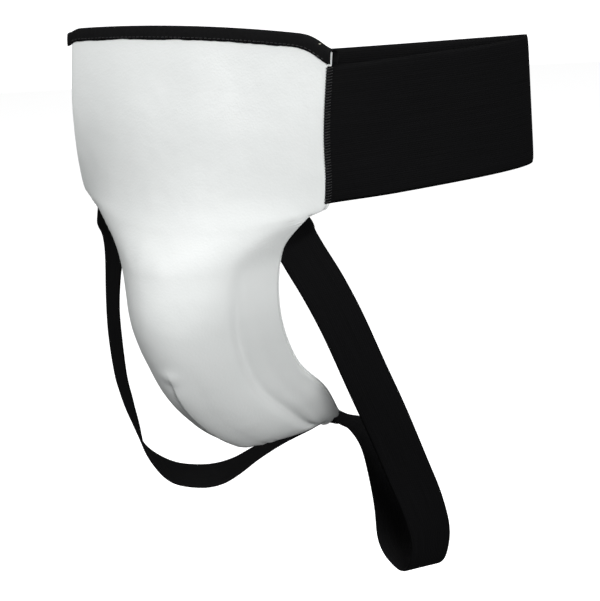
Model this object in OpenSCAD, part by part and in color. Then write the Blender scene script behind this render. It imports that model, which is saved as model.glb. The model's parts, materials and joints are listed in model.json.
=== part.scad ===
// Groin protector: a padded belly panel and cup, a wide waist belt and two leg straps.
// Frame: millimetres, +Z up, the wearer faces -Y, and +X is the wearer's left.
// Origin: the middle of the wearer's waist, level with the middle of the waist belt.

/* [Pad] */
// Thickness of the padded guard, from the front cover's face to the lining's face
pad_t = 8; // [7:0.5:9]
// Thickness of the front cover's leather
cover_t = 1.2; // [0.8:0.1:1.4]
// Thickness of the back lining
lining_t = 1; // [0.6:0.1:1.2]
// Thickness of the hard cup's wall
hard_t = 2.2; // [1.5:0.1:2.4]
// Bore of the hard cup's vent holes
vent_d = 7; // [4:0.5:9]
// How far the binding tape reaches down each face of the panel
binding_h = 9; // [7:0.5:12]
// Thickness of the binding tape
binding_t = 0.9; // [0.6:0.1:1.2]

/* [Waist belt] */
// Height of the waist belt
belt_w = 100; // [90:1:104]
// Thickness of the belt's elastic
belt_t = 1.8; // [1.2:0.1:2.2]
// Lean of the belt away from upright, in degrees
belt_lean = 2; // [0:0.5:3]
// Distance from the panel's sides back to the middle of the wearer's waist
waist_back = 105; // [90:1:120]

/* [Leg straps] */
// Width of the leg straps
strap_w = 36; // [30:1:40]
// Thickness of the leg straps' elastic
strap_t = 1.8; // [1.2:0.1:2.2]

/* [Stitching] */
// Thickness of the sewing thread
thread_d = 0.6; // [0.4:0.1:0.8]
// Stitches along the dart on the cup
dart_stitches = 12; // [6:1:16]
// Stitches along the binding
binding_stitches = 44; // [20:2:60]

/* [Hidden] */

// The guard's outer face, from the top edge (v = 0) to the tip (v = 1), as evenly spaced sections.
// Each row: crest height and depth, rim height and depth, half width, wrap angle, rim flare.
SECTIONS = [
    [74, -4, 69, -4, 123, 36, 0],
    [5, -24, 4, -11, 122, 38, 0],
    [-46, -36, -49, -9, 119, 42, 0],
    [-74, -47, -62, -13, 104, 50, 0],
    [-106, -63, -91, -14, 79, 70, 5],
    [-152, -70, -140, -2, 65, 88, 9],
    [-211, -43, -187, 30, 54, 95, 10],
    [-253, 12, -220, 71, 49, 90, 8],
    [-263, 64, -251, 107, 33, 76, 5],
    [-267, 135, -255, 130, 13, 50, 1]];
LAST = len(SECTIONS) - 1;
FLARE_START = 0.76;              // share of the half section where the rim starts to flare
SHIFT = [0, -waist_back, 0];
STEP = 0.002;                    // step of the numerical slopes
PANEL_RUN = 612;                 // length of face per unit of v, near the top edge
CLEAR = 0.2;                     // room between neighbouring layers
GAP = 0.35;                      // room between bodies that move apart
ROLL = pad_t / 2;                // half the height of the rolled side edges
REACH = 0.6;                     // how far a rolled edge stands out, as a share of its half height
FOAM_IN = cover_t + CLEAR;       // depth of the foam's outer face
LINING_IN = pad_t - lining_t;    // depth of the lining's inner face
FOAM_OUT = LINING_IN - 0.5;      // depth of the foam's inner face
HARD_IN = FOAM_OUT - hard_t;     // depth of the hard cup's outer face
CUP_TOP = 0.44;                  // v where the hard cup starts
CUP_END = 0.93;                  // v where the hard cup ends
CUP_SIDE = 0.8;                  // share of the half section that the hard cup covers
TAB_T = 1.2;                     // thickness of the tongue at the tip
TAB_SIDE = 0.85;                 // share of the half section that the tongue covers
ANCHOR_T = 1.6;                  // thickness of the leg straps' sewn roots
BOW = 2.5;                       // how far a root bows away from the lining between its ends
ANCHOR_SLIT = 4;                 // length of the slit between a sewn root and its moving strap
ANCHOR_IN = 0.60;                // inner and outer edge of a root, as shares of the half section
ANCHOR_OUT = 0.86;
ANCHOR_TOP = 0.215;              // upper and lower end of the sewn part, as v
ANCHOR_LOW = 0.265;
PATCH_T = 1.4;                   // thickness of the hook and the loop patch
PATCH_IN = 0.60;                 // inner and outer edge of the closure, as shares of the half section
PATCH_OUT = 0.93;
PATCH_TOP = 0.033;               // upper and lower end of the closure, as v
PATCH_LOW = 0.198;

// Sampling: a Catmull-Rom spline through evenly spaced rows
function blend4(a, b, c, d, f) =
    0.5 * (2 * b + (c - a) * f + (2 * a - 5 * b + 4 * c - d) * f * f
        + (3 * b - a - 3 * c + d) * f * f * f);
function row(list, i) =
    i < 0 ? 2 * list[0] - list[1]
    : i >= len(list) ? 2 * list[len(list) - 1] - list[len(list) - 2]
    : list[i];
function along(list, s) =
    let (n = len(list) - 1, i = max(0, min(n - 1, floor(s * n))), f = s * n - i)
    blend4(row(list, i - 1), row(list, i), row(list, i + 1), row(list, i + 2), f);
function unit(a) = a / norm(a);

// A point of the outer face. q runs from -1 at the wearer's right rim to 1 at the left rim.
function face(q, v) =
    let (s = along(SECTIONS, v), w = s[5], a = abs(q),
        k = max(0, a - FLARE_START) / (1 - FLARE_START),
        depth = (cos(q * w) - cos(w)) / (1 - cos(w)))
    [(s[4] - s[6]) * sin(q * w) / sin(w) + sign(q) * s[6] * k * k,
        s[3] + (s[1] - s[3]) * depth,
        s[2] + (s[0] - s[2]) * depth];
function slope_q(q, v) = unit(face(q + STEP, v) - face(q - STEP, v));
function inward(q, v) = unit(cross(slope_q(q, v), face(q, v + STEP) - face(q, v - STEP)));
// A point at a depth under the outer face
function under(q, v, d) = face(q, v) + d * inward(q, v);
// A point of the rolled side edge: 0 degrees on the outer face, 180 on the lining
function rolled(side, v, turn, r) =
    let (n = inward(side, v), b = side * slope_q(side, v))
    face(side, v) + n * (ROLL - r * cos(turn)) + b * REACH * r * sin(turn);
function steps(from, to, n) = [for (i = [0:n]) from + (to - from) * i / n];
function reversed(list) = [for (i = [len(list) - 1:-1:0]) list[i]];

// A closed solid through rings of equal length, each ring an outer path and an inner path back
module skin(rings) {
    n = len(rings[0]);
    m = len(rings);
    half = n / 2;
    sides = [for (j = [0:m - 2], i = [0:n - 1])
        let (a = j * n + i, b = j * n + (i + 1) % n)
        each [[a, b, b + n], [a, b + n, a + n]]];
    first = [for (i = [0:half - 2]) each [[i, n - 1 - i, i + 1], [i + 1, n - 1 - i, n - 2 - i]]];
    last = [for (f = first) [for (k = [2:-1:0]) f[k] + (m - 1) * n]];
    polyhedron([for (r = rings) each r], concat(sides, first, last));
}
// A layer of the pad between two depths
module layer(q0, q1, v0, v1, d0, d1, nq, nv) {
    translate(SHIFT) skin([for (v = steps(v0, v1, nv)) concat(
        [for (q = steps(q0, q1, nq)) under(q, v, d0)],
        [for (q = steps(q1, q0, nq)) under(q, v, d1)])]);
}
// The same on one side of the middle, where side is 1 on the wearer's left and -1 on the right
module side_layer(side, q0, q1, v0, v1, d0, d1, nq, nv) {
    layer(min(side * q0, side * q1), max(side * q0, side * q1), v0, v1, d0, d1, nq, nv);
}
// A straight rod between two points
module rod(a, b, d) {
    run = b - a;
    translate(a) rotate([0, acos(run[2] / norm(run)), atan2(run[1], run[0])])
        cylinder(h = norm(run), d = d, $fn = 16);
}
// One stitch lying on the outer face or on the lining
module stitch(q0, v0, q1, v1, depth) {
    translate(SHIFT) rod(under(q0, v0, depth), under(q1, v1, depth), thread_d);
}

module front_cover() {
    turns = steps(72, 12, 3);
    function path(v, d) = concat(
        [for (t = turns) rolled(-1, v, t, ROLL - d)],
        [for (q = steps(-1, 1, 34)) under(q, v, d)],
        [for (t = reversed(turns)) rolled(1, v, t, ROLL - d)]);
    color("whitesmoke") translate(SHIFT)
        skin([for (v = steps(0.001, 0.999, 52)) concat(path(v, 0), reversed(path(v, cover_t)))]);
}
module back_lining() {
    turns = steps(108, 168, 2);
    function path(v, r, d) = concat(
        [for (t = turns) rolled(-1, v, t, r)],
        [for (q = steps(-1, 1, 24)) under(q, v, d)],
        [for (t = reversed(turns)) rolled(1, v, t, r)]);
    color("gainsboro") translate(SHIFT)
        skin([for (v = steps(0.001, 0.999, 38))
            concat(path(v, ROLL - lining_t, LINING_IN), reversed(path(v, ROLL, pad_t)))]);
}
module belly_foam() {
    color("lightyellow") layer(-0.95, 0.95, 0.006, 0.42, FOAM_IN, FOAM_OUT, 24, 16);
}
module cup_foam() {
    color("lightyellow")
        layer(-CUP_SIDE, CUP_SIDE, CUP_TOP, CUP_END, FOAM_IN, HARD_IN - 2 * CLEAR, 18, 18);
}
module hard_cup() {
    vents = [for (v = [0.56, 0.64, 0.72], q = [-0.3, 0, 0.3]) [q, v]];
    color("white") difference() {
        layer(-CUP_SIDE, CUP_SIDE, CUP_TOP, CUP_END, HARD_IN, FOAM_OUT, 18, 18);
        for (at = vents) {
            n = inward(at[0], at[1]);
            middle = under(at[0], at[1], HARD_IN) + SHIFT;
            rod_from = middle - 6 * n;
            rod(rod_from, rod_from + 14 * n, vent_d);
        }
    }
}
module cup_rim_cushion() {
    color("dimgray") for (side = [-1, 1])
        side_layer(side, CUP_SIDE + 0.04, 0.98, CUP_TOP, CUP_END, FOAM_IN, FOAM_OUT, 3, 16);
}
module top_binding() {
    // A U of tape over the top edge, from one rolled side to the other
    r = ROLL + CLEAR + binding_t;
    function leg(v, d) = [v, d];
    function u_path(r) = concat(
        [leg(binding_h / PANEL_RUN, ROLL - r)],
        [for (t = steps(0, 180, 6)) leg(-0.45 * r * sin(t) / PANEL_RUN, ROLL - r * cos(t))],
        [leg(binding_h / PANEL_RUN, ROLL + r)]);
    outer = u_path(r);
    inner = u_path(r - binding_t);
    end = 1.042;
    color([0.09, 0.09, 0.09]) translate(SHIFT)
        skin([for (q = steps(-end, end, 26)) concat(
            [for (p = outer) under(q, p[0], p[1])],
            [for (p = reversed(inner)) under(q, p[0], p[1])])]);
}
module binding_stitching() {
    v = 0.8 * binding_h / PANEL_RUN;
    depth = -CLEAR - binding_t - 0.7 * thread_d;
    pitch = 2 / binding_stitches;
    color([0.2, 0.2, 0.2]) for (i = [0:binding_stitches - 1])
        stitch(-1 + (i + 0.2) * pitch, v, -1 + (i + 0.8) * pitch, v, depth);
}
// The welt in the side seam: a thin cord between the cover's edge and the lining's edge
module edge_piping(side) {
    r = 0.9;
    color("white") translate(SHIFT) skin([for (v = steps(0.018, 0.985, 54))
        let (c = rolled(side, v, 90, ROLL + 0.5), n = inward(side, v), b = side * slope_q(side, v))
        [for (t = [0:60:300]) c + r * (side * sin(t) * n + cos(t) * b)]]);
}
module edge_piping_left() edge_piping(1);
module edge_piping_right() edge_piping(-1);
// The dart runs down the lower front of the cup and under it
module dart_stitching() {
    color("silver") for (i = [0:dart_stitches - 1]) {
        v = 0.655 + 0.0135 * i;
        stitch(0.035, v, 0.035, v + 0.007, -0.7 * thread_d);
    }
}
// The tongue that folds round the tip and carries the straps
module tip_tab() {
    face_leg = 6;
    lining_leg = 12;
    r = ROLL + 1.6 + TAB_T;
    // Points as distance past the tip and depth
    function u_path(r) = concat([[-face_leg, ROLL - r]],
        [for (t = steps(0, 180, 8)) [0.5 + 0.5 * r * sin(t), ROLL - r * cos(t)]],
        [[-lining_leg, ROLL + r]]);
    function at(q, p) = let (v = 0.998, n = inward(q, v))
        face(q, v) + p[1] * n + p[0] * unit(face(0, v) - face(0, v - STEP));
    outer = u_path(r);
    inner = u_path(r - TAB_T);
    color("whitesmoke") translate(SHIFT) skin([for (q = steps(TAB_SIDE, -TAB_SIDE, 8)) concat(
        [for (p = outer) at(q, p)], [for (p = reversed(inner)) at(q, p)])]);
}
module tip_bartack() {
    color("white") for (i = [0:5])
        stitch(-0.55 + 0.2 * i, 0.984, -0.45 + 0.2 * i, 0.992, -1.7 - TAB_T - thread_d);
}
module loop_patch() {
    color([0.15, 0.15, 0.15]) layer(-PATCH_OUT, -PATCH_IN, PATCH_TOP, PATCH_LOW,
        pad_t + CLEAR, pad_t + CLEAR + PATCH_T, 5, 6);
}
// The sewn roots of the leg straps: flat on the lining behind the shoulder, then hanging free of it
// down to a slit's width above the moving strap
module strap_anchor(side, route) {
    q0 = min(side * ANCHOR_IN, side * ANCHOR_OUT);
    q1 = max(side * ANCHOR_IN, side * ANCHOR_OUT);
    end = section(route, -ANCHOR_SLIT / 500);
    function sewn(v) = concat([for (q = steps(q0, q1, 4)) under(q, v, pad_t + 4 * CLEAR)],
        [for (q = steps(q1, q0, 4)) under(q, v, pad_t + 4 * CLEAR + ANCHOR_T)]);
    hung = concat([for (k = steps(-1, 1, 4)) end[0] + k * end[1] + end[2]],
        [for (k = steps(1, -1, 4)) end[0] + k * end[1] - end[2]]);
    last = sewn(ANCHOR_LOW);
    off = BOW * inward(side * (ANCHOR_IN + ANCHOR_OUT) / 2, ANCHOR_LOW);
    color([0.08, 0.08, 0.08]) translate(SHIFT) skin(concat(
        [for (v = steps(ANCHOR_TOP, ANCHOR_LOW, 3)) sewn(v)],
        [for (f = steps(0.2, 1, 4)) [for (i = [0:len(last) - 1])
            last[i] + (hung[i] - last[i]) * f + off * sin(180 * f)]]));
}
module strap_anchor_left() strap_anchor(1, LEFT_ROUTE);
module strap_anchor_right() strap_anchor(-1, RIGHT_ROUTE);
module anchor_bartack(side) {
    color([0.2, 0.2, 0.2]) for (v = [0.225, 0.245], i = [0:5])
        stitch(side * (0.62 + 0.037 * i), v, side * (0.645 + 0.037 * i), v + 0.008,
            pad_t + 4 * CLEAR + ANCHOR_T + thread_d);
}
module anchor_bartack_left() anchor_bartack(1);
module anchor_bartack_right() anchor_bartack(-1);

// Waist belt: seen from above, each stretch is one quadratic Bezier curve
SEAM = [126.8, -5, 0];
NEAR_PULL = [190, 170, 0];
FOLD = [164, 202, 0];
FAR_PULL = [-10, -14, 0];
TAB_DEPTH = pad_t + 2 * CLEAR + GAP + 2 * PATCH_T;
TAB_START = under(-PATCH_IN + 0.02, 0.118, TAB_DEPTH + belt_t / 2);
UP = [0, -sin(belt_lean), cos(belt_lean)];
TAB_UP = unit(under(-PATCH_IN, PATCH_TOP, TAB_DEPTH) - under(-PATCH_IN, PATCH_LOW, TAB_DEPTH));
function bezier(a, b, c, t) = (1 - t) * (1 - t) * a + 2 * t * (1 - t) * b + t * t * c;
function bezier_run(a, b, c, t) = unit((1 - t) * (b - a) + t * (c - b));
// A strip of belt between two shares of its curve, which leans from up0 to up1
module belt(a, b, c, t0, t1, n, up0, up1) {
    color([0.06, 0.06, 0.06]) translate(SHIFT) skin([for (t = steps(t0, t1, n))
        let (p = bezier(a, b, c, t), up = unit((1 - t) * up0 + t * up1),
            side = unit(cross(up, bezier_run(a, b, c, t))) * belt_t / 2, rise = up * belt_w / 2)
        [p + rise + side, p - rise + side, p - rise - side, p + rise - side]]);
}
module waist_belt_near() belt(SEAM, NEAR_PULL, FOLD, 0, 0.995, 20, UP, UP);
module waist_belt_far() belt(FOLD, FAR_PULL, TAB_START, 0.008, 1, 24, UP, TAB_UP);
module belt_overlock() {
    // Zigzag thread over the belt's sewn edge, on its outer face
    n = 22;
    out = unit(cross(bezier_run(SEAM, NEAR_PULL, FOLD, 0), UP));
    lift = out * (belt_t / 2 + 0.7 * thread_d);
    along_belt = bezier_run(SEAM, NEAR_PULL, FOLD, 0);
    color([0.15, 0.15, 0.15]) translate(SHIFT) for (i = [0:n - 1]) {
        z = belt_w * (0.49 - 0.98 * i / n);
        rod(SEAM + lift + UP * z + along_belt * 0.6,
            SEAM + lift + UP * (z - 0.4 * belt_w / n) + along_belt * 4, thread_d);
    }
}
module belt_end_tab() {
    color([0.06, 0.06, 0.06]) layer(-PATCH_OUT - 0.02, -PATCH_IN, PATCH_TOP, PATCH_LOW,
        TAB_DEPTH, TAB_DEPTH + belt_t, 5, 6);
}
module hook_patch() {
    d = pad_t + CLEAR + GAP + PATCH_T;
    color([0.15, 0.15, 0.15]) layer(-PATCH_OUT, -PATCH_IN - 0.01, PATCH_TOP + 0.002,
        PATCH_LOW - 0.002, d, d + PATCH_T, 5, 6);
}
module tab_stitching() {
    depth = TAB_DEPTH + belt_t + thread_d;
    color([0.2, 0.2, 0.2]) for (q = [-PATCH_OUT + 0.02, -PATCH_IN - 0.03], i = [0:17]) {
        v = PATCH_TOP + 0.006 + 0.0088 * i;
        stitch(q, v, q, v + 0.005, depth);
    }
}

// Leg straps: each row is a point of the route, the direction of the strap's width there,
// and the share of the full width, which the gathers at the tip take in
LEFT_ROUTE = [
    [[74, 13, -86], [0.42, 0.84, 0.31], 1],
    [[78, 19, -100], [0.45, 0.83, 0.32], 1],
    [[86, 29, -124], [0.50, 0.80, 0.33], 1],
    [[93, 42, -155], [0.52, 0.79, 0.31], 1],
    [[98, 61, -198], [0.56, 0.77, 0.29], 1],
    [[100, 82, -238], [0.66, 0.67, 0.28], 1],
    [[102, 105, -285], [0.66, 0.70, 0.20], 1],
    [[103, 122, -319], [0.54, 0.83, 0.05], 1],
    [[101, 135, -350], [0.44, 0.90, -0.02], 1],
    [[93, 141, -374], [0.38, 0.92, -0.03], 1],
    [[82, 145, -383], [0.40, 0.92, 0.00], 1],
    [[67, 149, -377], [0.43, 0.90, 0.00], 1],
    [[56, 151, -363], [0.43, 0.90, 0.02], 1],
    [[50, 156, -339], [0.39, 0.92, 0.09], 1],
    [[43, 158, -313], [0.27, 0.95, 0.15], 1],
    [[32, 158, -287], [0.08, 0.97, 0.20], 0.89],
    [[18, 155, -273], [-0.11, 0.97, 0.20], 0.70],
    [[7, 151, -269], [-0.26, 0.93, 0.25], 0.50]];
RIGHT_ROUTE = [
    [[-104, 7, -96], [0.95, -0.20, 0.25], 1],
    [[-107, 7, -114], [0.88, -0.40, 0.24], 1],
    [[-111, 7, -148], [0.85, -0.49, 0.20], 1],
    [[-112, 8, -178], [0.85, -0.49, 0.20], 1],
    [[-113, 12, -209], [0.82, -0.51, 0.23], 1],
    [[-113, 17, -230], [0.78, -0.54, 0.31], 1],
    [[-112, 23, -252], [0.73, -0.60, 0.31], 1],
    [[-109, 30, -277], [0.63, -0.73, 0.22], 1],
    [[-103, 40, -293], [0.56, -0.82, 0.00], 1],
    [[-95, 51, -303], [0.50, -0.84, -0.17], 1],
    [[-83, 66, -308], [0.57, -0.77, -0.26], 1],
    [[-73, 79, -308], [0.64, -0.72, -0.25], 1],
    [[-63, 92, -303], [0.66, -0.73, -0.15], 1],
    [[-52, 106, -294], [0.66, -0.75, -0.08], 0.94],
    [[-36, 122, -283], [0.66, -0.75, -0.06], 0.78],
    [[-21, 137, -275], [0.66, -0.74, -0.10], 0.56]];
// The strap's cross-section at a share of its route: middle, half its width, half its thickness
function section(route, s) =
    let (p = along(route, s), run = unit(along(route, s + STEP)[0] - along(route, s - STEP)[0]),
        wide = unit(p[1] - (p[1] * run) * run))
    [p[0], wide * p[2] * strap_w / 2, cross(run, wide) * strap_t / 2];
module leg_strap(route, n) {
    color([0.06, 0.06, 0.06]) translate(SHIFT) skin([for (s = steps(0, 1, n))
        let (c = section(route, s))
        [c[0] - c[1] + c[2], c[0] + c[1] + c[2], c[0] + c[1] - c[2], c[0] - c[1] - c[2]]]);
}
module leg_strap_left() leg_strap(LEFT_ROUTE, 56);
module leg_strap_right() leg_strap(RIGHT_ROUTE, 50);

front_cover();
back_lining();
belly_foam();
cup_foam();
hard_cup();
cup_rim_cushion();
top_binding();
binding_stitching();
edge_piping_left();
edge_piping_right();
dart_stitching();
tip_tab();
tip_bartack();
loop_patch();
strap_anchor_left();
strap_anchor_right();
anchor_bartack_left();
anchor_bartack_right();
waist_belt_near();
belt_overlock();
waist_belt_far();
belt_end_tab();
hook_patch();
tab_stitching();
leg_strap_left();
leg_strap_right();
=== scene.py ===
"""Groin protector: leather cover, lining, binding, elastic belt and leg straps on the CAD frame."""
import json
import math

import bmesh
import bpy
import numpy as np
from mathutils import Matrix, Vector, noise


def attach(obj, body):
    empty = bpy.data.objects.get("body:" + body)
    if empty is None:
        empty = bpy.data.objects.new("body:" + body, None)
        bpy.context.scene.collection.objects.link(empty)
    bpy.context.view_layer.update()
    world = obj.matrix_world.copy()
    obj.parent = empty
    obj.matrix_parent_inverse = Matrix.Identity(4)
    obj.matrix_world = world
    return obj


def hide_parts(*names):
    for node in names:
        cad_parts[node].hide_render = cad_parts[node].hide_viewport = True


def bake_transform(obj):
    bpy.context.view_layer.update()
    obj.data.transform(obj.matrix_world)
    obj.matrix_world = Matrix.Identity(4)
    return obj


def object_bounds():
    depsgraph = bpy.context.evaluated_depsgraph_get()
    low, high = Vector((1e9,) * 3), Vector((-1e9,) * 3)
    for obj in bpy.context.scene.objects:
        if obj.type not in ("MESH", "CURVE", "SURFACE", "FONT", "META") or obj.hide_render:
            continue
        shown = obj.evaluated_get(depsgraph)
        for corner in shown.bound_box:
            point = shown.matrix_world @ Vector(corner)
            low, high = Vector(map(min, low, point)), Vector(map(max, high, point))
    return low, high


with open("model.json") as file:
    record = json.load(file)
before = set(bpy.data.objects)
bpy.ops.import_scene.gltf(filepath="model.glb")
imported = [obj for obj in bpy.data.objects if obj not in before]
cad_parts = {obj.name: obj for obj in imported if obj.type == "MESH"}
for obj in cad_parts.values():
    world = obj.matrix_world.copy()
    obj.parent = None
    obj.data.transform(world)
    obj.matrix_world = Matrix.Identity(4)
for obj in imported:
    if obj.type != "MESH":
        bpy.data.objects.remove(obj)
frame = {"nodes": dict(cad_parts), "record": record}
cad_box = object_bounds()
nodes = frame["nodes"]
MM = 0.001

# ---------------------------------------------------------------- camera
AZIMUTH, ELEVATION, ROLL_DEG = 38.0, 13.0, 3.0
DISTANCE = 1.700
FOCAL_PX, LONG_SIDE_PX, SENSOR = 2210.0, 601.0, 36.0
AIM = Vector((0.053, -0.064, -0.139))


def make_camera():
    az, el, roll = (math.radians(a) for a in (AZIMUTH, ELEVATION, ROLL_DEG))
    back = Vector((math.sin(az) * math.cos(el), -math.cos(az) * math.cos(el), math.sin(el)))
    right = Vector((math.cos(az), math.sin(az), 0.0))
    up = back.cross(right)
    x_axis = math.cos(roll) * right - math.sin(roll) * up
    y_axis = math.sin(roll) * right + math.cos(roll) * up
    data = bpy.data.cameras.new("camera")
    data.sensor_width = SENSOR
    data.lens = SENSOR * FOCAL_PX / LONG_SIDE_PX
    cam = bpy.data.objects.new("camera", data)
    bpy.context.scene.collection.objects.link(cam)
    turn = Matrix((x_axis, y_axis, back)).transposed().to_4x4()
    cam.matrix_world = Matrix.Translation(AIM + back * DISTANCE) @ turn
    bpy.context.scene.camera = cam


make_camera()

# ---------------------------------------------------------------- the pad's shape, in millimetres
# As in the CAD: crest height and depth, rim height and depth, half width, wrap angle, rim flare
SECTIONS = np.array([
    [74, -4, 69, -4, 123, 36, 0], [5, -24, 4, -11, 122, 38, 0], [-46, -36, -49, -9, 119, 42, 0],
    [-74, -47, -62, -13, 104, 50, 0], [-106, -63, -91, -14, 79, 70, 5], [-152, -70, -140, -2, 65, 88, 9],
    [-211, -43, -187, 30, 54, 95, 10], [-253, 12, -220, 71, 49, 90, 8], [-263, 64, -251, 107, 33, 76, 5],
    [-267, 135, -255, 130, 13, 50, 1]], float)
FLARE_START = 0.76                           # share of the half width where the rim starts to flare
STEP = 0.002                                 # step in q and v for slopes
SHIFT = np.array([0.0, -105.0, 0.0])         # from the shape's origin to the frame's
PAD_T, COVER_T, LINING_T = 8.0, 1.2, 1.0
PAD_ROLL = PAD_T / 2
REACH = 0.6                                  # how far a roll bulges sideways, as a share of its radius
PANEL_RUN = 612.0                            # length that v = 0 to 1 stands for
CLEAR = 0.2                                  # room between neighbouring layers
WELT = 0.5                                   # how far the welt's middle stands out of the roll


def spline(rows, s):
    rows = np.asarray(rows, float)
    s = np.asarray(s, float)
    n = len(rows) - 1
    ends = np.vstack([2 * rows[:1] - rows[1:2], rows, 2 * rows[-1:] - rows[-2:-1]])
    i = np.clip(np.floor(s * n).astype(int), 0, n - 1)
    f = (s * n - i)[..., None]
    a, b, c, d = ends[i], ends[i + 1], ends[i + 2], ends[i + 3]
    return 0.5 * (2 * b + (c - a) * f + (2 * a - 5 * b + 4 * c - d) * f * f
                  + (3 * b - a - 3 * c + d) * f ** 3)


def unit(a):
    return a / np.maximum(np.linalg.norm(a, axis=-1, keepdims=True), 1e-9)


def smooth(x, a, b):
    t = np.clip((np.asarray(x, float) - a) / (b - a), 0, 1)
    return t * t * (3 - 2 * t)


def bell(x, middle, width):
    return np.exp(-((np.asarray(x, float) - middle) / width) ** 2)


def face(q, v):
    """The outer face: q from -1 to 1 across, v from 0 at the top edge to 1 at the tip."""
    q, v = np.broadcast_arrays(np.asarray(q, float), np.asarray(v, float))
    s = spline(SECTIONS, v)
    w = np.radians(s[..., 5])
    k = np.maximum(0, np.abs(q) - FLARE_START) / (1 - FLARE_START)
    depth = (np.cos(q * w) - np.cos(w)) / (1 - np.cos(w))
    x = (s[..., 4] - s[..., 6]) * np.sin(q * w) / np.sin(w) + np.sign(q) * s[..., 6] * k * k
    y = s[..., 3] + (s[..., 1] - s[..., 3]) * depth
    z = s[..., 2] + (s[..., 0] - s[..., 2]) * depth
    # the panel's top corners droop, the wearer's left one more
    droop = 9.0 * smooth(q, 0.72, 1.04) ** 2 + 2.5 * smooth(-q, 0.92, 1.04) ** 2
    z = z - droop * (1 - smooth(v, 0.0, 0.10))
    return np.stack([x, y, z], -1)


def slope_q(q, v):
    return unit(face(q + STEP, v) - face(q - STEP, v))


def inward(q, v):
    return unit(np.cross(slope_q(q, v), face(q, v + STEP) - face(q, v - STEP)))


def under(q, v, d):
    """A point at a depth of d mm under the outer face."""
    return face(q, v) + np.asarray(d, float)[..., None] * inward(q, v)


# ---------------------------------------------------------------- mesh helpers
def new_object(name, verts_mm, faces, uvs=None):
    mesh = bpy.data.meshes.new(name)
    mesh.from_pydata([tuple(p) for p in (np.asarray(verts_mm) + SHIFT) * MM], [], faces)
    if uvs is not None:
        layer = mesh.uv_layers.new(name="run")
        index = np.empty(len(mesh.loops), int)
        mesh.loops.foreach_get("vertex_index", index)
        layer.data.foreach_set("uv", (np.asarray(uvs) * MM)[index].astype(np.float32).ravel())
    mesh.shade_smooth()
    mesh.update()
    obj = bpy.data.objects.new(name, mesh)
    bpy.context.scene.collection.objects.link(obj)
    return obj


def grid_faces(rows, cols, offset=0, flip=False):
    out = []
    for j in range(rows - 1):
        for i in range(cols - 1):
            a = offset + j * cols + i
            quad = (a, a + 1, a + cols + 1, a + cols)
            out.append(quad[::-1] if flip else quad)
    return out


def run_lengths(points):
    steps = np.linalg.norm(np.diff(points, axis=0), axis=1)
    return np.concatenate([[0], np.cumsum(steps)])


def skin(name, rings, uvs=None):
    """A closed solid through rings of equal length."""
    rows, cols = rings.shape[:2]
    faces = []
    for j in range(rows - 1):
        for i in range(cols):
            k = (i + 1) % cols
            faces.append((j * cols + i, j * cols + k, (j + 1) * cols + k, (j + 1) * cols + i))
    faces.append(tuple(range(cols))[::-1])
    faces.append(tuple((rows - 1) * cols + i for i in range(cols)))
    obj = new_object(name, rings.reshape(-1, 3), faces, None if uvs is None else uvs.reshape(-1, 2))
    outward(obj)
    return obj


def outward(obj):
    work = bmesh.new()
    work.from_mesh(obj.data)
    bmesh.ops.recalc_face_normals(work, faces=work.faces)
    work.to_mesh(obj.data)
    work.free()


def ribbon(name, middle, wide, thick, half_w, half_t, across=14, edge=10):
    """A strip of elastic: middle line, unit width and thickness directions, half sizes in mm."""
    k = np.linspace(-1, 1, across)
    k = np.sin(k * math.pi / 2) * 0.35 + k * 0.65
    rise = np.maximum(0.0, 1 - np.abs(k) ** edge) ** 0.5
    ring_k = np.concatenate([k, k[::-1][1:-1]])
    ring_t = np.concatenate([rise, -rise[::-1][1:-1]])
    half_w = np.broadcast_to(np.asarray(half_w, float), (len(middle),))
    rings = (middle[:, None] + wide[:, None] * (half_w[:, None] * ring_k)[..., None]
             + thick[:, None] * (half_t * ring_t)[None, :, None])
    run = run_lengths(middle)
    uvs = np.stack([np.repeat(run[:, None], len(ring_k), 1), half_w[:, None] * ring_k[None]], -1)
    return skin(name, rings, uvs), run[-1]


def tube(name, paths, radius, sides=8):
    """One object of round threads along paths in mm."""
    verts, faces = [], []
    for path in paths:
        path = np.asarray(path, float)
        run = unit(np.gradient(path, axis=0))
        ref = np.array([0.0, 0.0, 1.0]) if abs(run[0, 2]) < 0.9 else np.array([1.0, 0.0, 0.0])
        side = unit(np.cross(run[0], ref))
        base = len(verts)
        for j, p in enumerate(path):
            side = unit(side - run[j] * (side @ run[j]))
            other = np.cross(run[j], side)
            taper = 0.55 if j in (0, len(path) - 1) else 1.0
            for i in range(sides):
                a = 2 * math.pi * i / sides
                verts.append(p + radius * taper * (math.cos(a) * side + math.sin(a) * other))
        for j in range(len(path) - 1):
            for i in range(sides):
                k = (i + 1) % sides
                a = base + j * sides
                faces.append((a + i, a + k, a + sides + k, a + sides + i))
        faces.append(tuple(base + i for i in range(sides))[::-1])
        faces.append(tuple(base + (len(path) - 1) * sides + i for i in range(sides)))
    obj = new_object(name, verts, faces)
    outward(obj)
    return obj


def solidify(obj, thickness_mm):
    mod = obj.modifiers.new("thickness", "SOLIDIFY")
    mod.thickness = thickness_mm * MM
    mod.offset = -1
    mod.use_rim = True


# ---------------------------------------------------------------- materials
def material(name, rough, specular=0.5, sheen=0.0, coat=0.0):
    mat = bpy.data.materials.new(name)
    mat.use_nodes = True
    tree = mat.node_tree
    shader = tree.nodes["Principled BSDF"]
    shader.inputs["Roughness"].default_value = rough
    shader.inputs["Specular IOR Level"].default_value = specular
    shader.inputs["Sheen Weight"].default_value = sheen
    shader.inputs["Sheen Roughness"].default_value = 0.45
    shader.inputs["Coat Weight"].default_value = coat
    return mat, tree, shader


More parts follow.
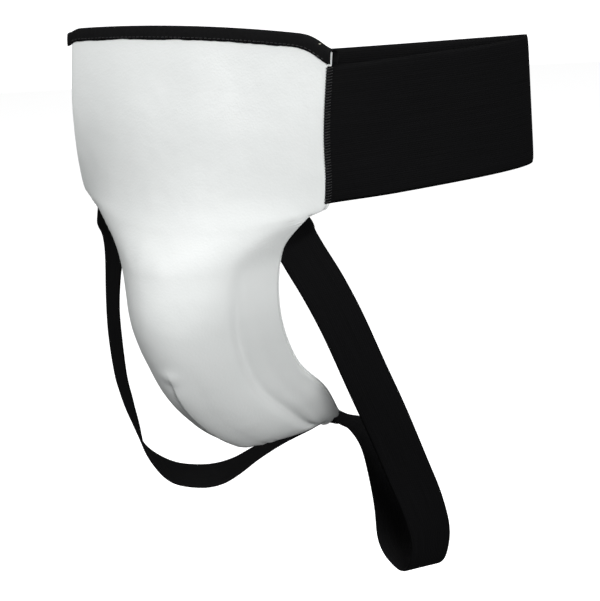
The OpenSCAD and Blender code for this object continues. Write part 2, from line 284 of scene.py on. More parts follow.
def node(tree, kind, inputs=None, **settings):
    made = tree.nodes.new(kind)
    for key, value in settings.items():
        setattr(made, key, value)
    for key, value in (inputs or {}).items():
        if isinstance(value, bpy.types.NodeSocket):
            tree.links.new(value, made.inputs[key])
        else:
            made.inputs[key].default_value = value
    return made


def math_node(tree, op, a, b=0.0):
    return node(tree, "ShaderNodeMath", {0: a, 1: b}, operation=op).outputs[0]


def colour_between(tree, shader, factor, dark, light):
    mix = node(tree, "ShaderNodeMix", {"Factor": factor}, data_type="RGBA")
    mix.inputs["A"].default_value = (*dark, 1)
    mix.inputs["B"].default_value = (*light, 1)
    tree.links.new(mix.outputs["Result"], shader.inputs["Base Color"])


def bumps(tree, shader, layers):
    """layers: (height socket, strength, distance in metres), laid over each other."""
    last = None
    for height, strength, distance in layers:
        bump = node(tree, "ShaderNodeBump",
                    {"Height": height, "Strength": strength, "Distance": distance})
        if last is not None:
            tree.links.new(last, bump.inputs["Normal"])
        last = bump.outputs["Normal"]
    tree.links.new(last, shader.inputs["Normal"])


def leather():
    mat, tree, shader = material("white_leather", 0.46, 0.42, coat=0.06)
    shader.inputs["Coat Roughness"].default_value = 0.35
    place = node(tree, "ShaderNodeTexCoord").outputs["Object"]
    cells = node(tree, "ShaderNodeTexVoronoi", {"Vector": place, "Scale": 620.0}, feature="SMOOTH_F1")
    creases = node(tree, "ShaderNodeTexNoise", {"Vector": place, "Scale": 150.0, "Detail": 6.0,
                                                "Distortion": 0.6})
    broad = node(tree, "ShaderNodeTexNoise", {"Vector": place, "Scale": 22.0, "Detail": 3.0})
    colour_between(tree, shader, broad.outputs["Fac"], (0.845, 0.872, 0.862), (0.895, 0.915, 0.905))
    bumps(tree, shader, [(broad.outputs["Fac"], 0.25, 0.0012), (creases.outputs["Fac"], 0.22, 0.0005),
                         (cells.outputs["Distance"], 0.30, 0.00025)])
    return mat


def elastic(across=1.55, along=0.85):
    """Ribbed elastic: cords run along the strip, crossed by the weave. Sizes in mm."""
    mat, tree, shader = material("elastic", 0.82, 0.10)
    uv = node(tree, "ShaderNodeUVMap", uv_map="run").outputs[0]
    parts = node(tree, "ShaderNodeSeparateXYZ", {0: uv})
    place = node(tree, "ShaderNodeTexCoord").outputs["Object"]
    cord_wave = math_node(tree, "SINE", math_node(tree, "MULTIPLY", parts.outputs[1],
                                                  2 * math.pi / (across * MM)))
    weave = math_node(tree, "SINE", math_node(tree, "MULTIPLY", parts.outputs[0],
                                              2 * math.pi / (along * MM)))
    woven = math_node(tree, "MULTIPLY", cord_wave, weave)
    stretched = node(tree, "ShaderNodeMapping", {"Vector": uv, "Scale": (18.0, 900.0, 1.0)})
    streaks = node(tree, "ShaderNodeTexNoise",
                   {"Vector": stretched.outputs[0], "Scale": 1.0, "Detail": 4.0})
    fuzz = node(tree, "ShaderNodeTexNoise", {"Vector": place, "Scale": 1500.0, "Detail": 2.0})
    tone = math_node(tree, "ADD", math_node(tree, "MULTIPLY", streaks.outputs["Fac"], 0.75),
                     math_node(tree, "MULTIPLY", cord_wave, 0.16))
    colour_between(tree, shader, tone, (0.0012, 0.0012, 0.0014), (0.0070, 0.0070, 0.0078))
    bumps(tree, shader, [(cord_wave, 0.30, 0.00022), (woven, 0.30, 0.00015),
                         (streaks.outputs["Fac"], 0.2, 0.0004), (fuzz.outputs["Fac"], 0.2, 0.0001)])
    return mat


def tape():
    """Grosgrain tape: ribs cross the strip."""
    mat, tree, shader = material("binding_tape", 0.72, 0.12)
    uv = node(tree, "ShaderNodeUVMap", uv_map="run").outputs[0]
    parts = node(tree, "ShaderNodeSeparateXYZ", {0: uv})
    ribs = math_node(tree, "SINE", math_node(tree, "MULTIPLY", parts.outputs[0],
                                             2 * math.pi / (1.1 * MM)))
    cloudy = node(tree, "ShaderNodeTexNoise", {"Vector": uv, "Scale": 260.0, "Detail": 4.0})
    tone = math_node(tree, "ADD", math_node(tree, "MULTIPLY", cloudy.outputs["Fac"], 0.7),
                     math_node(tree, "MULTIPLY", ribs, 0.22))
    colour_between(tree, shader, tone, (0.002, 0.002, 0.0022), (0.006, 0.006, 0.007))
    bumps(tree, shader, [(cloudy.outputs["Fac"], 0.35, 0.0006), (ribs, 0.45, 0.00025)])
    return mat


def plain(name, dark, light, rough, scale, depth=0.0003, sheen=0.0):
    """A fabric, thread, foam or plastic whose grain is a noise of one scale."""
    mat, tree, shader = material(name, rough, 0.4, sheen=sheen)
    place = node(tree, "ShaderNodeTexCoord").outputs["Object"]
    grain = node(tree, "ShaderNodeTexNoise", {"Vector": place, "Scale": scale, "Detail": 5.0})
    colour_between(tree, shader, grain.outputs["Fac"], dark, light)
    bumps(tree, shader, [(grain.outputs["Fac"], 0.5, depth)])
    return mat


def knit():
    mat, tree, shader = material("lining_fabric", 0.85, 0.25, sheen=0.25)
    uv = node(tree, "ShaderNodeUVMap", uv_map="run").outputs[0]
    holes = node(tree, "ShaderNodeTexVoronoi", {"Vector": uv, "Scale": 420.0}, feature="F1")
    broad = node(tree, "ShaderNodeTexNoise", {"Vector": uv, "Scale": 24.0, "Detail": 3.0})
    near_hole = math_node(tree, "MULTIPLY", holes.outputs["Distance"], 1.5)
    colour_between(tree, shader, near_hole, (0.62, 0.63, 0.64), (0.84, 0.85, 0.85))
    bumps(tree, shader, [(broad.outputs["Fac"], 0.3, 0.001), (holes.outputs["Distance"], 0.55, 0.0005)])
    return mat


BLACK = (0.006, 0.006, 0.007)
MATERIALS = {
    "white_leather": leather(),
    "lining_fabric": knit(),
    "elastic_webbing": elastic(),
    "binding_tape": tape(),
    "dark_thread": plain("dark_thread", BLACK, (0.03, 0.03, 0.032), 0.6, 2500.0, 0.0001, 0.1),
    "light_thread": plain("light_thread", (0.62, 0.63, 0.62), (0.84, 0.85, 0.84), 0.55, 2500.0,
                          0.0001, 0.1),
    "loop_pile": plain("loop_pile", (0.006, 0.006, 0.008), (0.045, 0.045, 0.05), 0.95, 1800.0,
                       0.0008, 0.4),
    "hook_tape": plain("hook_tape", (0.008, 0.008, 0.01), (0.05, 0.05, 0.055), 0.5, 1400.0, 0.0006),
    "foam": plain("foam", (0.80, 0.77, 0.62), (0.92, 0.89, 0.76), 0.95, 900.0),
    "hard_plastic": plain("hard_plastic", (0.80, 0.80, 0.78), (0.87, 0.87, 0.85), 0.35, 90.0, 0.0001),
    "rim_rubber": plain("rim_rubber", (0.08, 0.08, 0.085), (0.13, 0.13, 0.135), 0.7, 500.0, 0.0001),
}


def finish_piece(obj, slot, body=None, *replaced):
    obj.data.materials.clear()
    obj.data.materials.append(MATERIALS[slot])
    if body:
        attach(obj, body)
    if replaced:
        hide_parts(*replaced)
    return obj


for part in frame["record"]["subparts"]:
    cad = nodes[part["node"]]
    cad.data.materials.clear()
    cad.data.materials.append(MATERIALS[part["material_slot"]])


# ---------------------------------------------------------------- the pad
def cover_detail(q, v):
    """How far the leather stands out from the CAD face, in mm: valley, dart, puckers and gathers."""
    a = np.abs(q)
    low = smooth(v, 0.40, 0.60) * (1 - smooth(v, 0.86, 0.96))
    out = -3.6 * bell(a, 0.72, 0.055) * low
    out += 1.0 * bell(a, 0.92, 0.06) * low
    # the dart: a step with a sewn groove, dimpled at every stitch
    on_dart = smooth(v, 0.60, 0.645) * (1 - smooth(v, 0.80, 0.83))
    out += 2.2 * on_dart * smooth(q, 0.020, 0.040) * (1 - smooth(q, 0.05, 0.30))
    holes = 0.5 + 0.5 * np.cos(2 * math.pi * (v - 0.6585) / 0.0135)
    out -= on_dart * bell(q, 0.035, 0.010) * (1.3 + 0.9 * holes)
    # puckers round the dart's two ends
    low_end = bell(v, 0.835, 0.022) * bell(q, 0.03, 0.22)
    out += 1.2 * low_end * np.sin(2 * math.pi * (q * 9.0 + v * 14.0))
    top_end = bell(v, 0.615, 0.016) * bell(q, 0.04, 0.09)
    out += 1.2 * top_end * np.sin(2 * math.pi * (v - 0.60) / 0.045)
    # gathers where the side seam turns in under the belt
    gather = bell(v, 0.315, 0.030) * smooth(a, 0.84, 0.97)
    out += 1.1 * gather * np.sin(2 * math.pi * (v / 0.0125 + 2.0 * a))
    wrinkle = bell(v, 0.395, 0.028) * bell(a, 0.84, 0.12)
    out += 0.45 * wrinkle * np.sin(2 * math.pi * (v / 0.0105 + 1.5 * a))
    tip = smooth(v, 0.90, 0.97) * smooth(a, 0.45, 0.95)
    out += 0.55 * tip * np.sin(2 * math.pi * v / 0.011)
    return out * smooth(v, 0.012, 0.05)


def rough_noise(points, scale_mm, seed):
    offset = Vector((seed * 7.1, seed * 3.3, seed * 1.7))
    return np.array([noise.noise(Vector(p) / scale_mm + offset) for p in points.reshape(-1, 3)]
                    ).reshape(points.shape[:-1])


def shell(name, side_turns, tip_turns, columns, rows, front, detail=None):
    """The cover or the lining: a face that rolls round the two sides and the tip."""
    q_in = np.linspace(-1, 1, columns)
    v_in = np.linspace(0.001, 1.0, rows)
    sides = np.concatenate([-np.ones(len(side_turns)), q_in, np.ones(len(side_turns))])
    turn_q = np.concatenate([side_turns, np.zeros(columns), side_turns[::-1]])
    vs = np.concatenate([v_in, np.ones(len(tip_turns))])
    turn_v = np.concatenate([np.zeros(rows), tip_turns[::-1]])
    q, v = np.meshgrid(sides, vs)
    sigma = np.radians(np.broadcast_to(turn_q, q.shape))
    tau = np.radians(np.broadcast_to(turn_v[:, None], q.shape))
    n = inward(q, v)
    b = np.sign(q)[..., None] * slope_q(q, v)
    ahead = unit(face(q, 1.0) - face(q, 1.0 - STEP))
    r = PAD_ROLL * np.cos(tau)
    sign = 1.0 if front else -1.0
    points = (face(q, v) + n * (PAD_ROLL - sign * r * np.cos(sigma))[..., None]
              + b * (REACH * r * np.sin(sigma))[..., None]
              + ahead * (REACH * PAD_ROLL * np.sin(tau))[..., None])
    if detail is not None:
        fade = np.cos(sigma) * np.cos(tau)
        lift = detail(q, v) * fade
        slack = smooth(v, 0.012, 0.05)
        lift += slack * (0.55 * rough_noise(points, 38.0, 1) + 0.18 * rough_noise(points, 12.0, 2))
        points = points - n * (lift * np.where(turn_q != 0, 0.3, 1.0))[..., None]
    u = run_lengths(points[rows // 3])
    w = run_lengths(points[:, points.shape[1] // 2])
    uvs = np.stack(np.meshgrid(u, w), -1)
    faces = grid_faces(points.shape[0], points.shape[1], flip=not front)
    obj = new_object(name, points.reshape(-1, 3), faces, uvs.reshape(-1, 2))
    mid = (points.shape[0] // 2) * (points.shape[1] - 1) + points.shape[1] // 2
    normal = np.array(obj.data.polygons[mid].normal)
    facing = -1.0 if front else 1.0
    if normal[1] * facing < 0:
        obj.data.flip_normals()
    return obj


cover = shell("cover", np.array([84.0, 72, 60, 48, 36, 24, 12]), np.array([84.0, 66, 48, 30, 15]),
              150, 250, True, cover_detail)
solidify(cover, COVER_T)
finish_piece(cover, "white_leather", "guard", "front_cover")

lining = shell("lining", np.array([84.0, 68, 52, 36, 18]), np.array([84.0, 62, 40, 20]),
               90, 140, False, lambda q, v: 0 * q)    # no detail of its own, only the broad unevenness
solidify(lining, LINING_T)
finish_piece(lining, "lining_fabric", "guard", "back_lining")


FOAM_COLUMNS = 40
FOAM_GAP = 1.1                               # between the cover's inside and the foam


def foam_piece(name, spans, depth_out, v0, v1, slot, *replaced):
    """Inner padding that keeps just behind the displaced cover."""
    rings_all = []
    for q0, q1 in spans:
        qs = np.linspace(q0, q1, FOAM_COLUMNS)
        rings = []
        for v in np.linspace(v0, v1, 60):
            vs = np.full(FOAM_COLUMNS, v)
            sunk = np.maximum(0, -cover_detail(qs, vs))
            front = under(qs, vs, COVER_T + FOAM_GAP + sunk)
            back = under(qs, vs, np.full(FOAM_COLUMNS, depth_out))
            rings.append(np.concatenate([front, back[::-1]]))
        rings_all.append(np.array(rings))
    objs = [skin(name if i == 0 else "%s_%d" % (name, i + 1), r) for i, r in enumerate(rings_all)]
    for obj in objs:
        finish_piece(obj, slot, "guard")
        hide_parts(*replaced)


foam_piece("cup_foam_pad", [(-0.79, 0.79)], 4.35, 0.445, 0.925, "foam", "cup_foam")
foam_piece("rim_cushion_pad", [(0.845, 0.97), (-0.97, -0.845)], 6.3, 0.445, 0.925, "rim_rubber",
           "cup_rim_cushion")


def side_seam(side, v):
    """The middle of the rolled side edge, where the welt is sewn in."""
    q = np.full(np.shape(v), float(side))
    return face(q, v) + inward(q, v) * PAD_ROLL + side * slope_q(q, v) * REACH * (PAD_ROLL + WELT)


for side, label in ((1, "left"), (-1, "right")):
    seam = side_seam(side, np.linspace(0.016, 0.988, 240))
    piping = tube("edge_piping_%s_welt" % label, [seam], 0.95, 10)
    finish_piece(piping, "white_leather", "guard", "edge_piping_%s" % label)


def u_binding():
    """The tape folded over the top edge, with a slightly uneven lower edge."""
    q = np.linspace(-1.045, 1.045, 240)
    rows = []
    tape_t = 0.9
    for qi in q:
        sway = 0.7 * noise.noise(Vector((qi * 9.0, 0.3, 1.1)))
        sway += 0.35 * noise.noise(Vector((qi * 31.0, 2.0, 0.0)))
        drop = 8.3 + sway + 1.2 * bell(abs(qi), 1.04, 0.05)
        r = PAD_ROLL + CLEAR + tape_t
        outer = [(drop, PAD_ROLL - r + 0.25), (drop * 0.75, PAD_ROLL - r - 0.15),
                 (drop * 0.4, PAD_ROLL - r - 0.25)]
        outer += [(-0.45 * r * math.sin(math.radians(t)), PAD_ROLL - r * math.cos(math.radians(t)))
                  for t in np.linspace(0, 180, 13)]
        outer += [(drop * 0.4, PAD_ROLL + r + 0.25), (drop * 0.75, PAD_ROLL + r + 0.15),
                  (drop, PAD_ROLL + r - 0.25)]
        inner = [(a - 0.1 if a > 1 else a * 0.8, PAD_ROLL + (d - PAD_ROLL) * (1 - tape_t / r))
                 for a, d in outer]
        rows.append(outer + inner[::-1])
    path = np.array(rows)
    qq = np.broadcast_to(q[:, None], path.shape[:2])
    lump = 0.22 * np.array([noise.noise(Vector((a * 40.0, 5.0, 0.0))) for a in q])[:, None]
    depth = path[..., 1] + np.sign(path[..., 1] - PAD_ROLL) * lump
    v = path[..., 0] / PANEL_RUN
    points = under(qq, v, depth)
    run = run_lengths(points[:, 0])
    uvs = np.stack([np.broadcast_to(run[:, None], v.shape), path[..., 0]], -1)
    return skin("binding", points, uvs)


finish_piece(u_binding(), "binding_tape", "guard", "top_binding")


def binding_threads():
    paths = []
    count = 62
    for face_depth in (-CLEAR - 1.15, PAD_T + CLEAR + 1.15):
        for i in range(count):
            q0 = -1 + (i + 0.18) * 2 / count
            q = np.linspace(q0, q0 + 1.28 / count, 6)
            v = np.full(6, 6.7 / PANEL_RUN)
            bow = 0.22 * np.sin(np.linspace(0, math.pi, 6)) * np.sign(face_depth)
            paths.append(under(q, v, np.full(6, face_depth) + bow))
    return tube("binding_threads", paths, 0.28, 6)


finish_piece(binding_threads(), "dark_thread", "guard", "binding_stitching")


def dart_threads():
    paths = []
    for i in range(12):
        v = np.linspace(0.6555 + 0.0135 * i, 0.6615 + 0.0135 * i, 5)
        q = np.full(5, 0.035)
        dip = 0.55 - 0.35 * np.sin(np.linspace(0, math.pi, 5))
        paths.append(under(q, v, dip))
    return tube("dart_threads", paths, 0.25, 6)


finish_piece(dart_threads(), "light_thread", "guard", "dart_stitching")


# ---------------------------------------------------------------- the tip
TAB_T = 1.2
TAB_ROOM = 0.7                               # between the rolled tip and the tongue
TIP_V = 0.998


def tip_tab():
    """The leather tongue that wraps the tip, with a lip that curls away underneath."""
    r = PAD_ROLL + TAB_ROOM + TAB_T
    u = [(-6.0, PAD_ROLL - r + 0.5), (-4.0, PAD_ROLL - r + 0.1), (-2.0, PAD_ROLL - r)]
    u += [(0.5 + 0.5 * r * math.sin(math.radians(t)), PAD_ROLL - r * math.cos(math.radians(t)))
          for t in np.linspace(0, 180, 15)]
    u += [(-3.0, PAD_ROLL + r), (-6.0, PAD_ROLL + r), (-9.0, PAD_ROLL + r), (-12.0, PAD_ROLL + r)]
    outer = np.array(u)
    inner = np.column_stack([np.where(outer[:, 0] > 0, outer[:, 0] - 0.5, outer[:, 0]),
                             PAD_ROLL + (outer[:, 1] - PAD_ROLL) * (1 - TAB_T / r)])
    path = np.concatenate([outer, inner[::-1]])
    rings = []
    for q in np.linspace(-0.85, 0.85, 28):
        at_v = np.full(len(path), TIP_V)
        qs = np.full(len(path), q)
        n = inward(qs, at_v)
        ahead = unit(face(0.0, TIP_V) - face(0.0, TIP_V - STEP))
        rings.append(face(qs, at_v) + n * path[:, 1:2] + ahead * path[:, 0:1])
    rings = np.array(rings)
    run = run_lengths(rings[:, 0])
    uvs = np.stack([np.broadcast_to(run[:, None], rings.shape[:2]),
                    np.broadcast_to(path[None, :, 0], rings.shape[:2])], -1)
    return skin("tip_tongue", rings, uvs)


finish_piece(tip_tab(), "white_leather", "guard", "tip_tab")


def tip_bartack():
    """A dense row of stitches across the tongue."""
    paths = []
    ahead = unit(face(0.0, TIP_V) - face(0.0, TIP_V - STEP))
    for i in range(15):
        q = -0.6 + 1.2 * i / 14
        n = inward(np.array(q), np.array(TIP_V))
        start = face(np.array(q), np.array(TIP_V)) - n * (TAB_ROOM + TAB_T + 0.2)
        steps = np.linspace(-4.2, -1.0, 5)[:, None]
        bow = -0.2 * np.sin(np.linspace(0, math.pi, 5))[:, None]
        paths.append(start + ahead * steps + n * bow)
    return tube("tip_bartack_threads", paths, 0.32, 6)


finish_piece(tip_bartack(), "light_thread", "guard", "tip_bartack")


# ---------------------------------------------------------------- waist belt
BELT_W, BELT_T, BELT_LEAN = 100.0, 1.8, math.radians(2.0)
SEAM = np.array([126.8, -5.0, 0.0])
NEAR_PULL = np.array([190.0, 170.0, 0.0])
FOLD = np.array([164.0, 202.0, 0.0])
FAR_PULL = np.array([-10.0, -14.0, 0.0])
PATCH_T, GAP = 1.4, 0.35
PATCH_IN, PATCH_OUT, PATCH_TOP, PATCH_LOW = 0.60, 0.93, 0.033, 0.198
TAB_DEPTH = PAD_T + 2 * CLEAR + GAP + 2 * PATCH_T
UP = np.array([0.0, -math.sin(BELT_LEAN), math.cos(BELT_LEAN)])


def point_under(q, v, d):
    return under(np.array(q), np.array(v), np.array(d))


TAB_START = point_under(-PATCH_IN + 0.02, 0.118, TAB_DEPTH + BELT_T / 2)
TAB_UP = unit(point_under(-PATCH_IN, PATCH_TOP, TAB_DEPTH)
              - point_under(-PATCH_IN, PATCH_LOW, TAB_DEPTH))
SEAM_V = np.linspace(0.0, 0.34, 120)
SEAM_LINE = side_seam(1, SEAM_V)
SEAM_LAP = np.array([0.3, -4.6])             # the belt's edge laps round to the front of the roll


def seam_shift(height):
    """From the belt's straight start to the panel's side at that height."""
    height = np.asarray(height, float)
    rim = np.stack([np.interp(-height, -SEAM_LINE[:, 2], SEAM_LINE[:, k]) for k in (0, 1)], -1)
    start = (SEAM + height[..., None] * UP)[..., :2]
    gap = rim + SEAM_LAP - start
    return np.concatenate([gap, np.zeros(height.shape + (1,))], -1)


def bezier(a, b, c, t):
    t = t[:, None]
    return (1 - t) ** 2 * a + 2 * t * (1 - t) * b + t * t * c


def belt():
    """One strip from the panel's side round the fold and back to the closure."""
    near = bezier(SEAM, NEAR_PULL, FOLD, np.linspace(0, 0.975, 90))
    far = bezier(FOLD, FAR_PULL, TAB_START, np.linspace(0.016, 1, 110))
    turn = bezier(near[-1], FOLD + np.array([-0.5, 1.5, 0.0]), far[0], np.linspace(0, 1, 12)[1:-1])
    middle = np.concatenate([near, turn, far])
    run = run_lengths(middle)
    share = np.clip((run - run[95]) / (run[-1] - run[95]), 0, 1)[:, None]
    up = unit((1 - share) * UP + share * TAB_UP)
    # a slight wave in the hanging elastic
    side = unit(np.cross(up, np.gradient(middle, axis=0)))
    wave = 0.8 * np.sin(run / 47.0) * smooth(run, 15, 60) * (1 - smooth(run, run[-1] - 60, run[-1] - 15))
    middle = middle + side * wave[:, None]
    obj, length = ribbon("belt", middle, up, side, BELT_W / 2, BELT_T / 2, across=26)
    # the sewn edge follows the panel's side
    uvs = np.empty(len(obj.data.loops) * 2, np.float32)
    obj.data.uv_layers["run"].data.foreach_get("uv", uvs)
    index = np.empty(len(obj.data.loops), int)
    obj.data.loops.foreach_get("vertex_index", index)
    place = np.zeros((len(obj.data.vertices), 2))
    place[index] = uvs.reshape(-1, 2) / MM
    moved = seam_shift(place[:, 1]) * (1 - smooth(place[:, 0], 2.0, 55.0))[:, None] * MM
    for vert, step in zip(obj.data.vertices, moved):
        vert.co += Vector(step)
    return obj, length


belt_piece, belt_run = belt()
finish_piece(belt_piece, "elastic_webbing", None, "waist_belt_near", "waist_belt_far")
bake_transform(belt_piece)


def overlock():
    """Loops of thread round the belt's sewn edge."""
    away = unit(np.cross(NEAR_PULL - SEAM, UP))
    ahead = unit(NEAR_PULL - SEAM)
    paths = []
    for i in range(48):
        z = BELT_W * (0.495 - 0.99 * (i + 0.5) / 48)
        lift = BELT_T / 2 + 0.25
        key = [(4.0, z + 0.55, lift), (0.6, z + 0.1, lift + 0.1), (-0.7, z, 0.0), (0.6, z - 0.1, -lift),
               (3.4, z - 0.6, -lift)]
        line = np.array([SEAM + ahead * a + UP * h + away * o for a, h, o in key])
        paths.append(line + seam_shift(np.full(len(key), z)))
    return tube("belt_overlock_threads", paths, 0.36, 6)


finish_piece(overlock(), "dark_thread", "belt_near", "belt_overlock")


def patch(name, q0, q1, v0, v1, d0, d1, slot, body, nq=24, nv=48):
    """A flat strip of tape lying along the lining at a depth, with rounded corners and edges."""
    corner = 0.12
    k = np.linspace(-1, 1, nv)
    into = np.clip((np.abs(k) - (1 - corner / 2)) / (corner / 2), 0, 1)
    half = 1 - corner * (1 - np.sqrt(np.clip(1 - into ** 2, 0, 1)))
    across = np.linspace(-1, 1, nq)
    rise = np.maximum(0.0, 1 - np.abs(across) ** 14) ** 0.5
    rings, uvs = [], []
    for kk, hh in zip(k, half):
        v = (v0 + v1) / 2 + kk * (v1 - v0) / 2
        end = max(0.15, (1 - abs(kk) ** 30) ** 0.5)
        q = (q0 + q1) / 2 + across * hh * (q1 - q0) / 2
        mid, thick = (d0 + d1) / 2, (d1 - d0) / 2 * end
        front = under(q, np.full(nq, v), mid - thick * rise)
        back = under(q, np.full(nq, v), mid + thick * rise)
        rings.append(np.concatenate([front, back[::-1][1:-1]]))
        width = across * 20.0
        uvs.append(np.stack([np.full(2 * nq - 2, (v - v0) * PANEL_RUN),
                             np.concatenate([width, width[::-1][1:-1]])], -1))
    obj = skin(name, np.array(rings), np.array(uvs))
    finish_piece(obj, slot, body)
    return obj


loop_depth = PAD_T + CLEAR
loop_pad = patch("loop_pad", -PATCH_OUT, -PATCH_IN, PATCH_TOP, PATCH_LOW,
                 loop_depth, loop_depth + PATCH_T, "loop_pile", "guard")
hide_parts("loop_patch")
hook_depth = PAD_T + CLEAR + GAP + PATCH_T
hook_pad = patch("hook_pad", -PATCH_OUT, -PATCH_IN - 0.01, PATCH_TOP + 0.002, PATCH_LOW - 0.002,
                 hook_depth, hook_depth + PATCH_T, "hook_tape", "closure_tab")
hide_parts("hook_patch")
end_tab = patch("belt_end", -PATCH_OUT - 0.02, -PATCH_IN, PATCH_TOP, PATCH_LOW,
                TAB_DEPTH, TAB_DEPTH + BELT_T, "elastic_webbing", "closure_tab")
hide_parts("belt_end_tab")


def tab_threads():
    paths = []
    depth = TAB_DEPTH + BELT_T + 0.25
    for q in (-PATCH_OUT + 0.02, -PATCH_IN - 0.03):
        for i in range(30):
            v = PATCH_TOP + 0.006 + 0.0052 * i
            vs = np.linspace(v, v + 0.0036, 4)
            bow = 0.15 * np.sin(np.linspace(0, math.pi, 4))
            paths.append(under(np.full(4, q), vs, depth + bow))
    return tube("closure_threads", paths, 0.3, 6)


finish_piece(tab_threads(), "dark_thread", "closure_tab", "tab_stitching")

# ---------------------------------------------------------------- leg straps
STRAP_W, STRAP_T = 36.0, 1.8
# As in the CAD: a point of the route, the direction of the width and the share of the full width
LEFT_ROUTE = [
    [74, 13, -86, 0.42, 0.84, 0.31, 1], [78, 19, -100, 0.45, 0.83, 0.32, 1],
    [86, 29, -124, 0.50, 0.80, 0.33, 1], [93, 42, -155, 0.52, 0.79, 0.31, 1],
    [98, 61, -198, 0.56, 0.77, 0.29, 1], [100, 82, -238, 0.66, 0.67, 0.28, 1],
    [102, 105, -285, 0.66, 0.70, 0.20, 1], [103, 122, -319, 0.54, 0.83, 0.05, 1],
    [101, 135, -350, 0.44, 0.90, -0.02, 1], [93, 141, -374, 0.38, 0.92, -0.03, 1],
    [82, 145, -383, 0.40, 0.92, 0.00, 1], [67, 149, -377, 0.43, 0.90, 0.00, 1],
    [56, 151, -363, 0.43, 0.90, 0.02, 1], [50, 156, -339, 0.39, 0.92, 0.09, 1],
    [43, 158, -313, 0.27, 0.95, 0.15, 1],
    [32, 158, -287, 0.08, 0.97, 0.20, 0.89], [18, 155, -273, -0.11, 0.97, 0.20, 0.70],
    [7, 151, -269, -0.26, 0.93, 0.25, 0.50]]
RIGHT_ROUTE = [
    [-104, 7, -96, 0.95, -0.20, 0.25, 1], [-107, 7, -114, 0.88, -0.40, 0.24, 1],
    [-111, 7, -148, 0.85, -0.49, 0.20, 1], [-112, 8, -178, 0.85, -0.49, 0.20, 1],
    [-113, 12, -209, 0.82, -0.51, 0.23, 1],
    [-113, 17, -230, 0.78, -0.54, 0.31, 1], [-112, 23, -252, 0.73, -0.60, 0.31, 1],
    [-109, 30, -277, 0.63, -0.73, 0.22, 1], [-103, 40, -293, 0.56, -0.82, 0.00, 1],
    [-95, 51, -303, 0.50, -0.84, -0.17, 1], [-83, 66, -308, 0.57, -0.77, -0.26, 1],
    [-73, 79, -308, 0.64, -0.72, -0.25, 1], [-63, 92, -303, 0.66, -0.73, -0.15, 1],
    [-52, 106, -294, 0.66, -0.75, -0.08, 0.94], [-36, 122, -283, 0.66, -0.75, -0.06, 0.78],
    [-21, 137, -275, 0.66, -0.74, -0.10, 0.56]]
ANCHOR_IN, ANCHOR_OUT, ANCHOR_TOP, ANCHOR_LOW = 0.60, 0.86, 0.215, 0.265
ROOT_DEPTH = PAD_T + 4 * CLEAR + STRAP_T / 2
ROOT_RINGS, BRIDGE_RINGS = 8, 14


def leg_strap(name, side, route, count, tail):
    """The sewn root, the hanging loop and the gathered end at the tip as one strip of elastic."""
    s = np.linspace(0, 1, count)
    rows = spline(np.array(list(route) + list(tail), float), s)
    middle, wide, share = rows[:, :3], unit(rows[:, 3:6]), rows[:, 6]
    # the root: from the lining to the loop's start
    root_v = np.linspace(ANCHOR_TOP, ANCHOR_LOW, ROOT_RINGS)
    flat = np.full(ROOT_RINGS, PAD_T)
    q_mid = side * (ANCHOR_IN + ANCHOR_OUT) / 2
    root = under(np.full(ROOT_RINGS, q_mid), root_v, np.full(ROOT_RINGS, ROOT_DEPTH))
    root_wide = unit(under(np.full(ROOT_RINGS, q_mid + 0.1), root_v, flat)
                     - under(np.full(ROOT_RINGS, q_mid - 0.1), root_v, flat))
    f = smooth(np.linspace(0, 1, BRIDGE_RINGS + 2)[1:-1], -0.2, 1.15)[:, None]
    bridge = root[-1] + (middle[0] - root[-1]) * f
    bridge_wide = unit(root_wide[-1] * (1 - f) + wide[0] * f)
    middle = np.concatenate([root, bridge, middle])
    wide = np.concatenate([root_wide, bridge_wide, wide])
    share = np.concatenate([np.ones(ROOT_RINGS + BRIDGE_RINGS), share])
    for _ in range(3):
        middle[1:-1] = (middle[:-2] + 2 * middle[1:-1] + middle[2:]) / 4
    run_dir = unit(np.gradient(middle, axis=0))
    wide = unit(wide - run_dir * np.sum(wide * run_dir, -1, keepdims=True))
    thick = np.cross(run_dir, wide)
    obj, length = ribbon(name, middle, wide, thick, share * STRAP_W / 2, STRAP_T / 2, across=16)
    finish_piece(obj, "elastic_webbing")
    label = "left" if side > 0 else "right"
    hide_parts("leg_strap_" + label, "strap_anchor_" + label)
    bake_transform(obj)


leg_strap("thigh_strap_left", 1, LEFT_ROUTE, 180, [[-2, 144, -262, -0.20, 0.80, 0.50, 0.34]])
leg_strap("thigh_strap_right", -1, RIGHT_ROUTE, 160,
          [[-10, 145, -272, 0.60, -0.60, 0.20, 0.42], [0, 148, -271, 0.55, -0.50, 0.40, 0.38]])


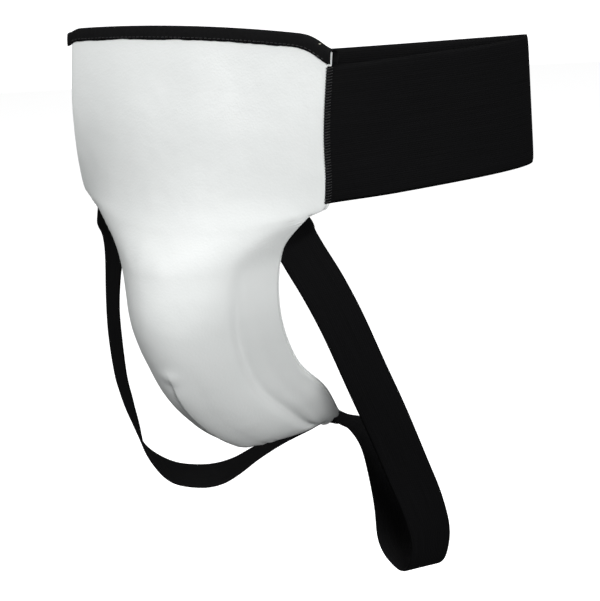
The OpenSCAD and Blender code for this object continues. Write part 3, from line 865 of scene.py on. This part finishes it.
def anchor_threads(side, label):
    paths = []
    depth = ROOT_DEPTH + STRAP_T / 2 + 0.3
    for v in (0.222, 0.240, 0.256):
        for i in range(12):
            q = side * (0.625 + 0.0175 * i)
            qs = np.linspace(q, q + side * 0.011, 4)
            vs = np.linspace(v, v + 0.004, 4)
            paths.append(under(qs, vs, np.full(4, depth)))
    obj = tube("root_threads_" + label, paths, 0.3, 6)
    finish_piece(obj, "dark_thread", "guard", "anchor_bartack_" + label)


anchor_threads(1, "left")
anchor_threads(-1, "right")


# ---------------------------------------------------------------- stage, lights, world
def flat_white(name, glow):
    mat, tree, shader = material(name, 0.9, 0.1)
    shader.inputs["Base Color"].default_value = (0.92, 0.92, 0.92, 1)
    shader.inputs["Emission Color"].default_value = (1, 1, 1, 1)
    shader.inputs["Emission Strength"].default_value = glow
    return mat


def stage_plane(name, size, place, turn, mat):
    bpy.ops.mesh.primitive_plane_add(size=size, location=place, rotation=turn)
    plane = bpy.context.object
    plane.name = name
    plane.data.materials.append(mat)
    plane.visible_diffuse = False
    plane.visible_glossy = False


STAGE_SIZE = 14.0
FLOOR_Z = cad_box[0].z - 0.10
BACK_DISTANCE = 4.0
stage_plane("floor", STAGE_SIZE, (0, 2.0, FLOOR_Z), (0, 0, 0), flat_white("floor_white", 0.85))
back_turn = math.radians(AZIMUTH)
stage_plane("backdrop", STAGE_SIZE,
            (-BACK_DISTANCE * math.sin(back_turn), BACK_DISTANCE * math.cos(back_turn), 3.0),
            (math.radians(90), 0, back_turn), flat_white("backdrop_white", 1.0))


def area_light(name, place, side, power):
    """A square soft light, aimed at the object."""
    data = bpy.data.lights.new(name, "AREA")
    data.shape = "RECTANGLE"
    data.size, data.size_y = side, side
    data.energy = power
    obj = bpy.data.objects.new(name, data)
    bpy.context.scene.collection.objects.link(obj)
    direction = AIM - Vector(place)
    obj.location = place
    obj.rotation_mode = "QUATERNION"
    obj.rotation_quaternion = direction.to_track_quat("-Z", "Y")


area_light("key", (-1.0, -1.9, 1.3), 1.3, 29.0)
area_light("fill", (2.4, -1.4, 0.65), 1.2, 62.0)
area_light("top", (0.2, 0.3, 2.0), 1.4, 18.0)

world = bpy.data.worlds.new("studio")
bpy.context.scene.world = world
world.use_nodes = True
sky = world.node_tree.nodes["Background"]
sky.inputs["Color"].default_value = (0.97, 0.985, 1.0, 1)
sky.inputs["Strength"].default_value = 0.08
bpy.context.scene.view_settings.view_transform = "Standard"
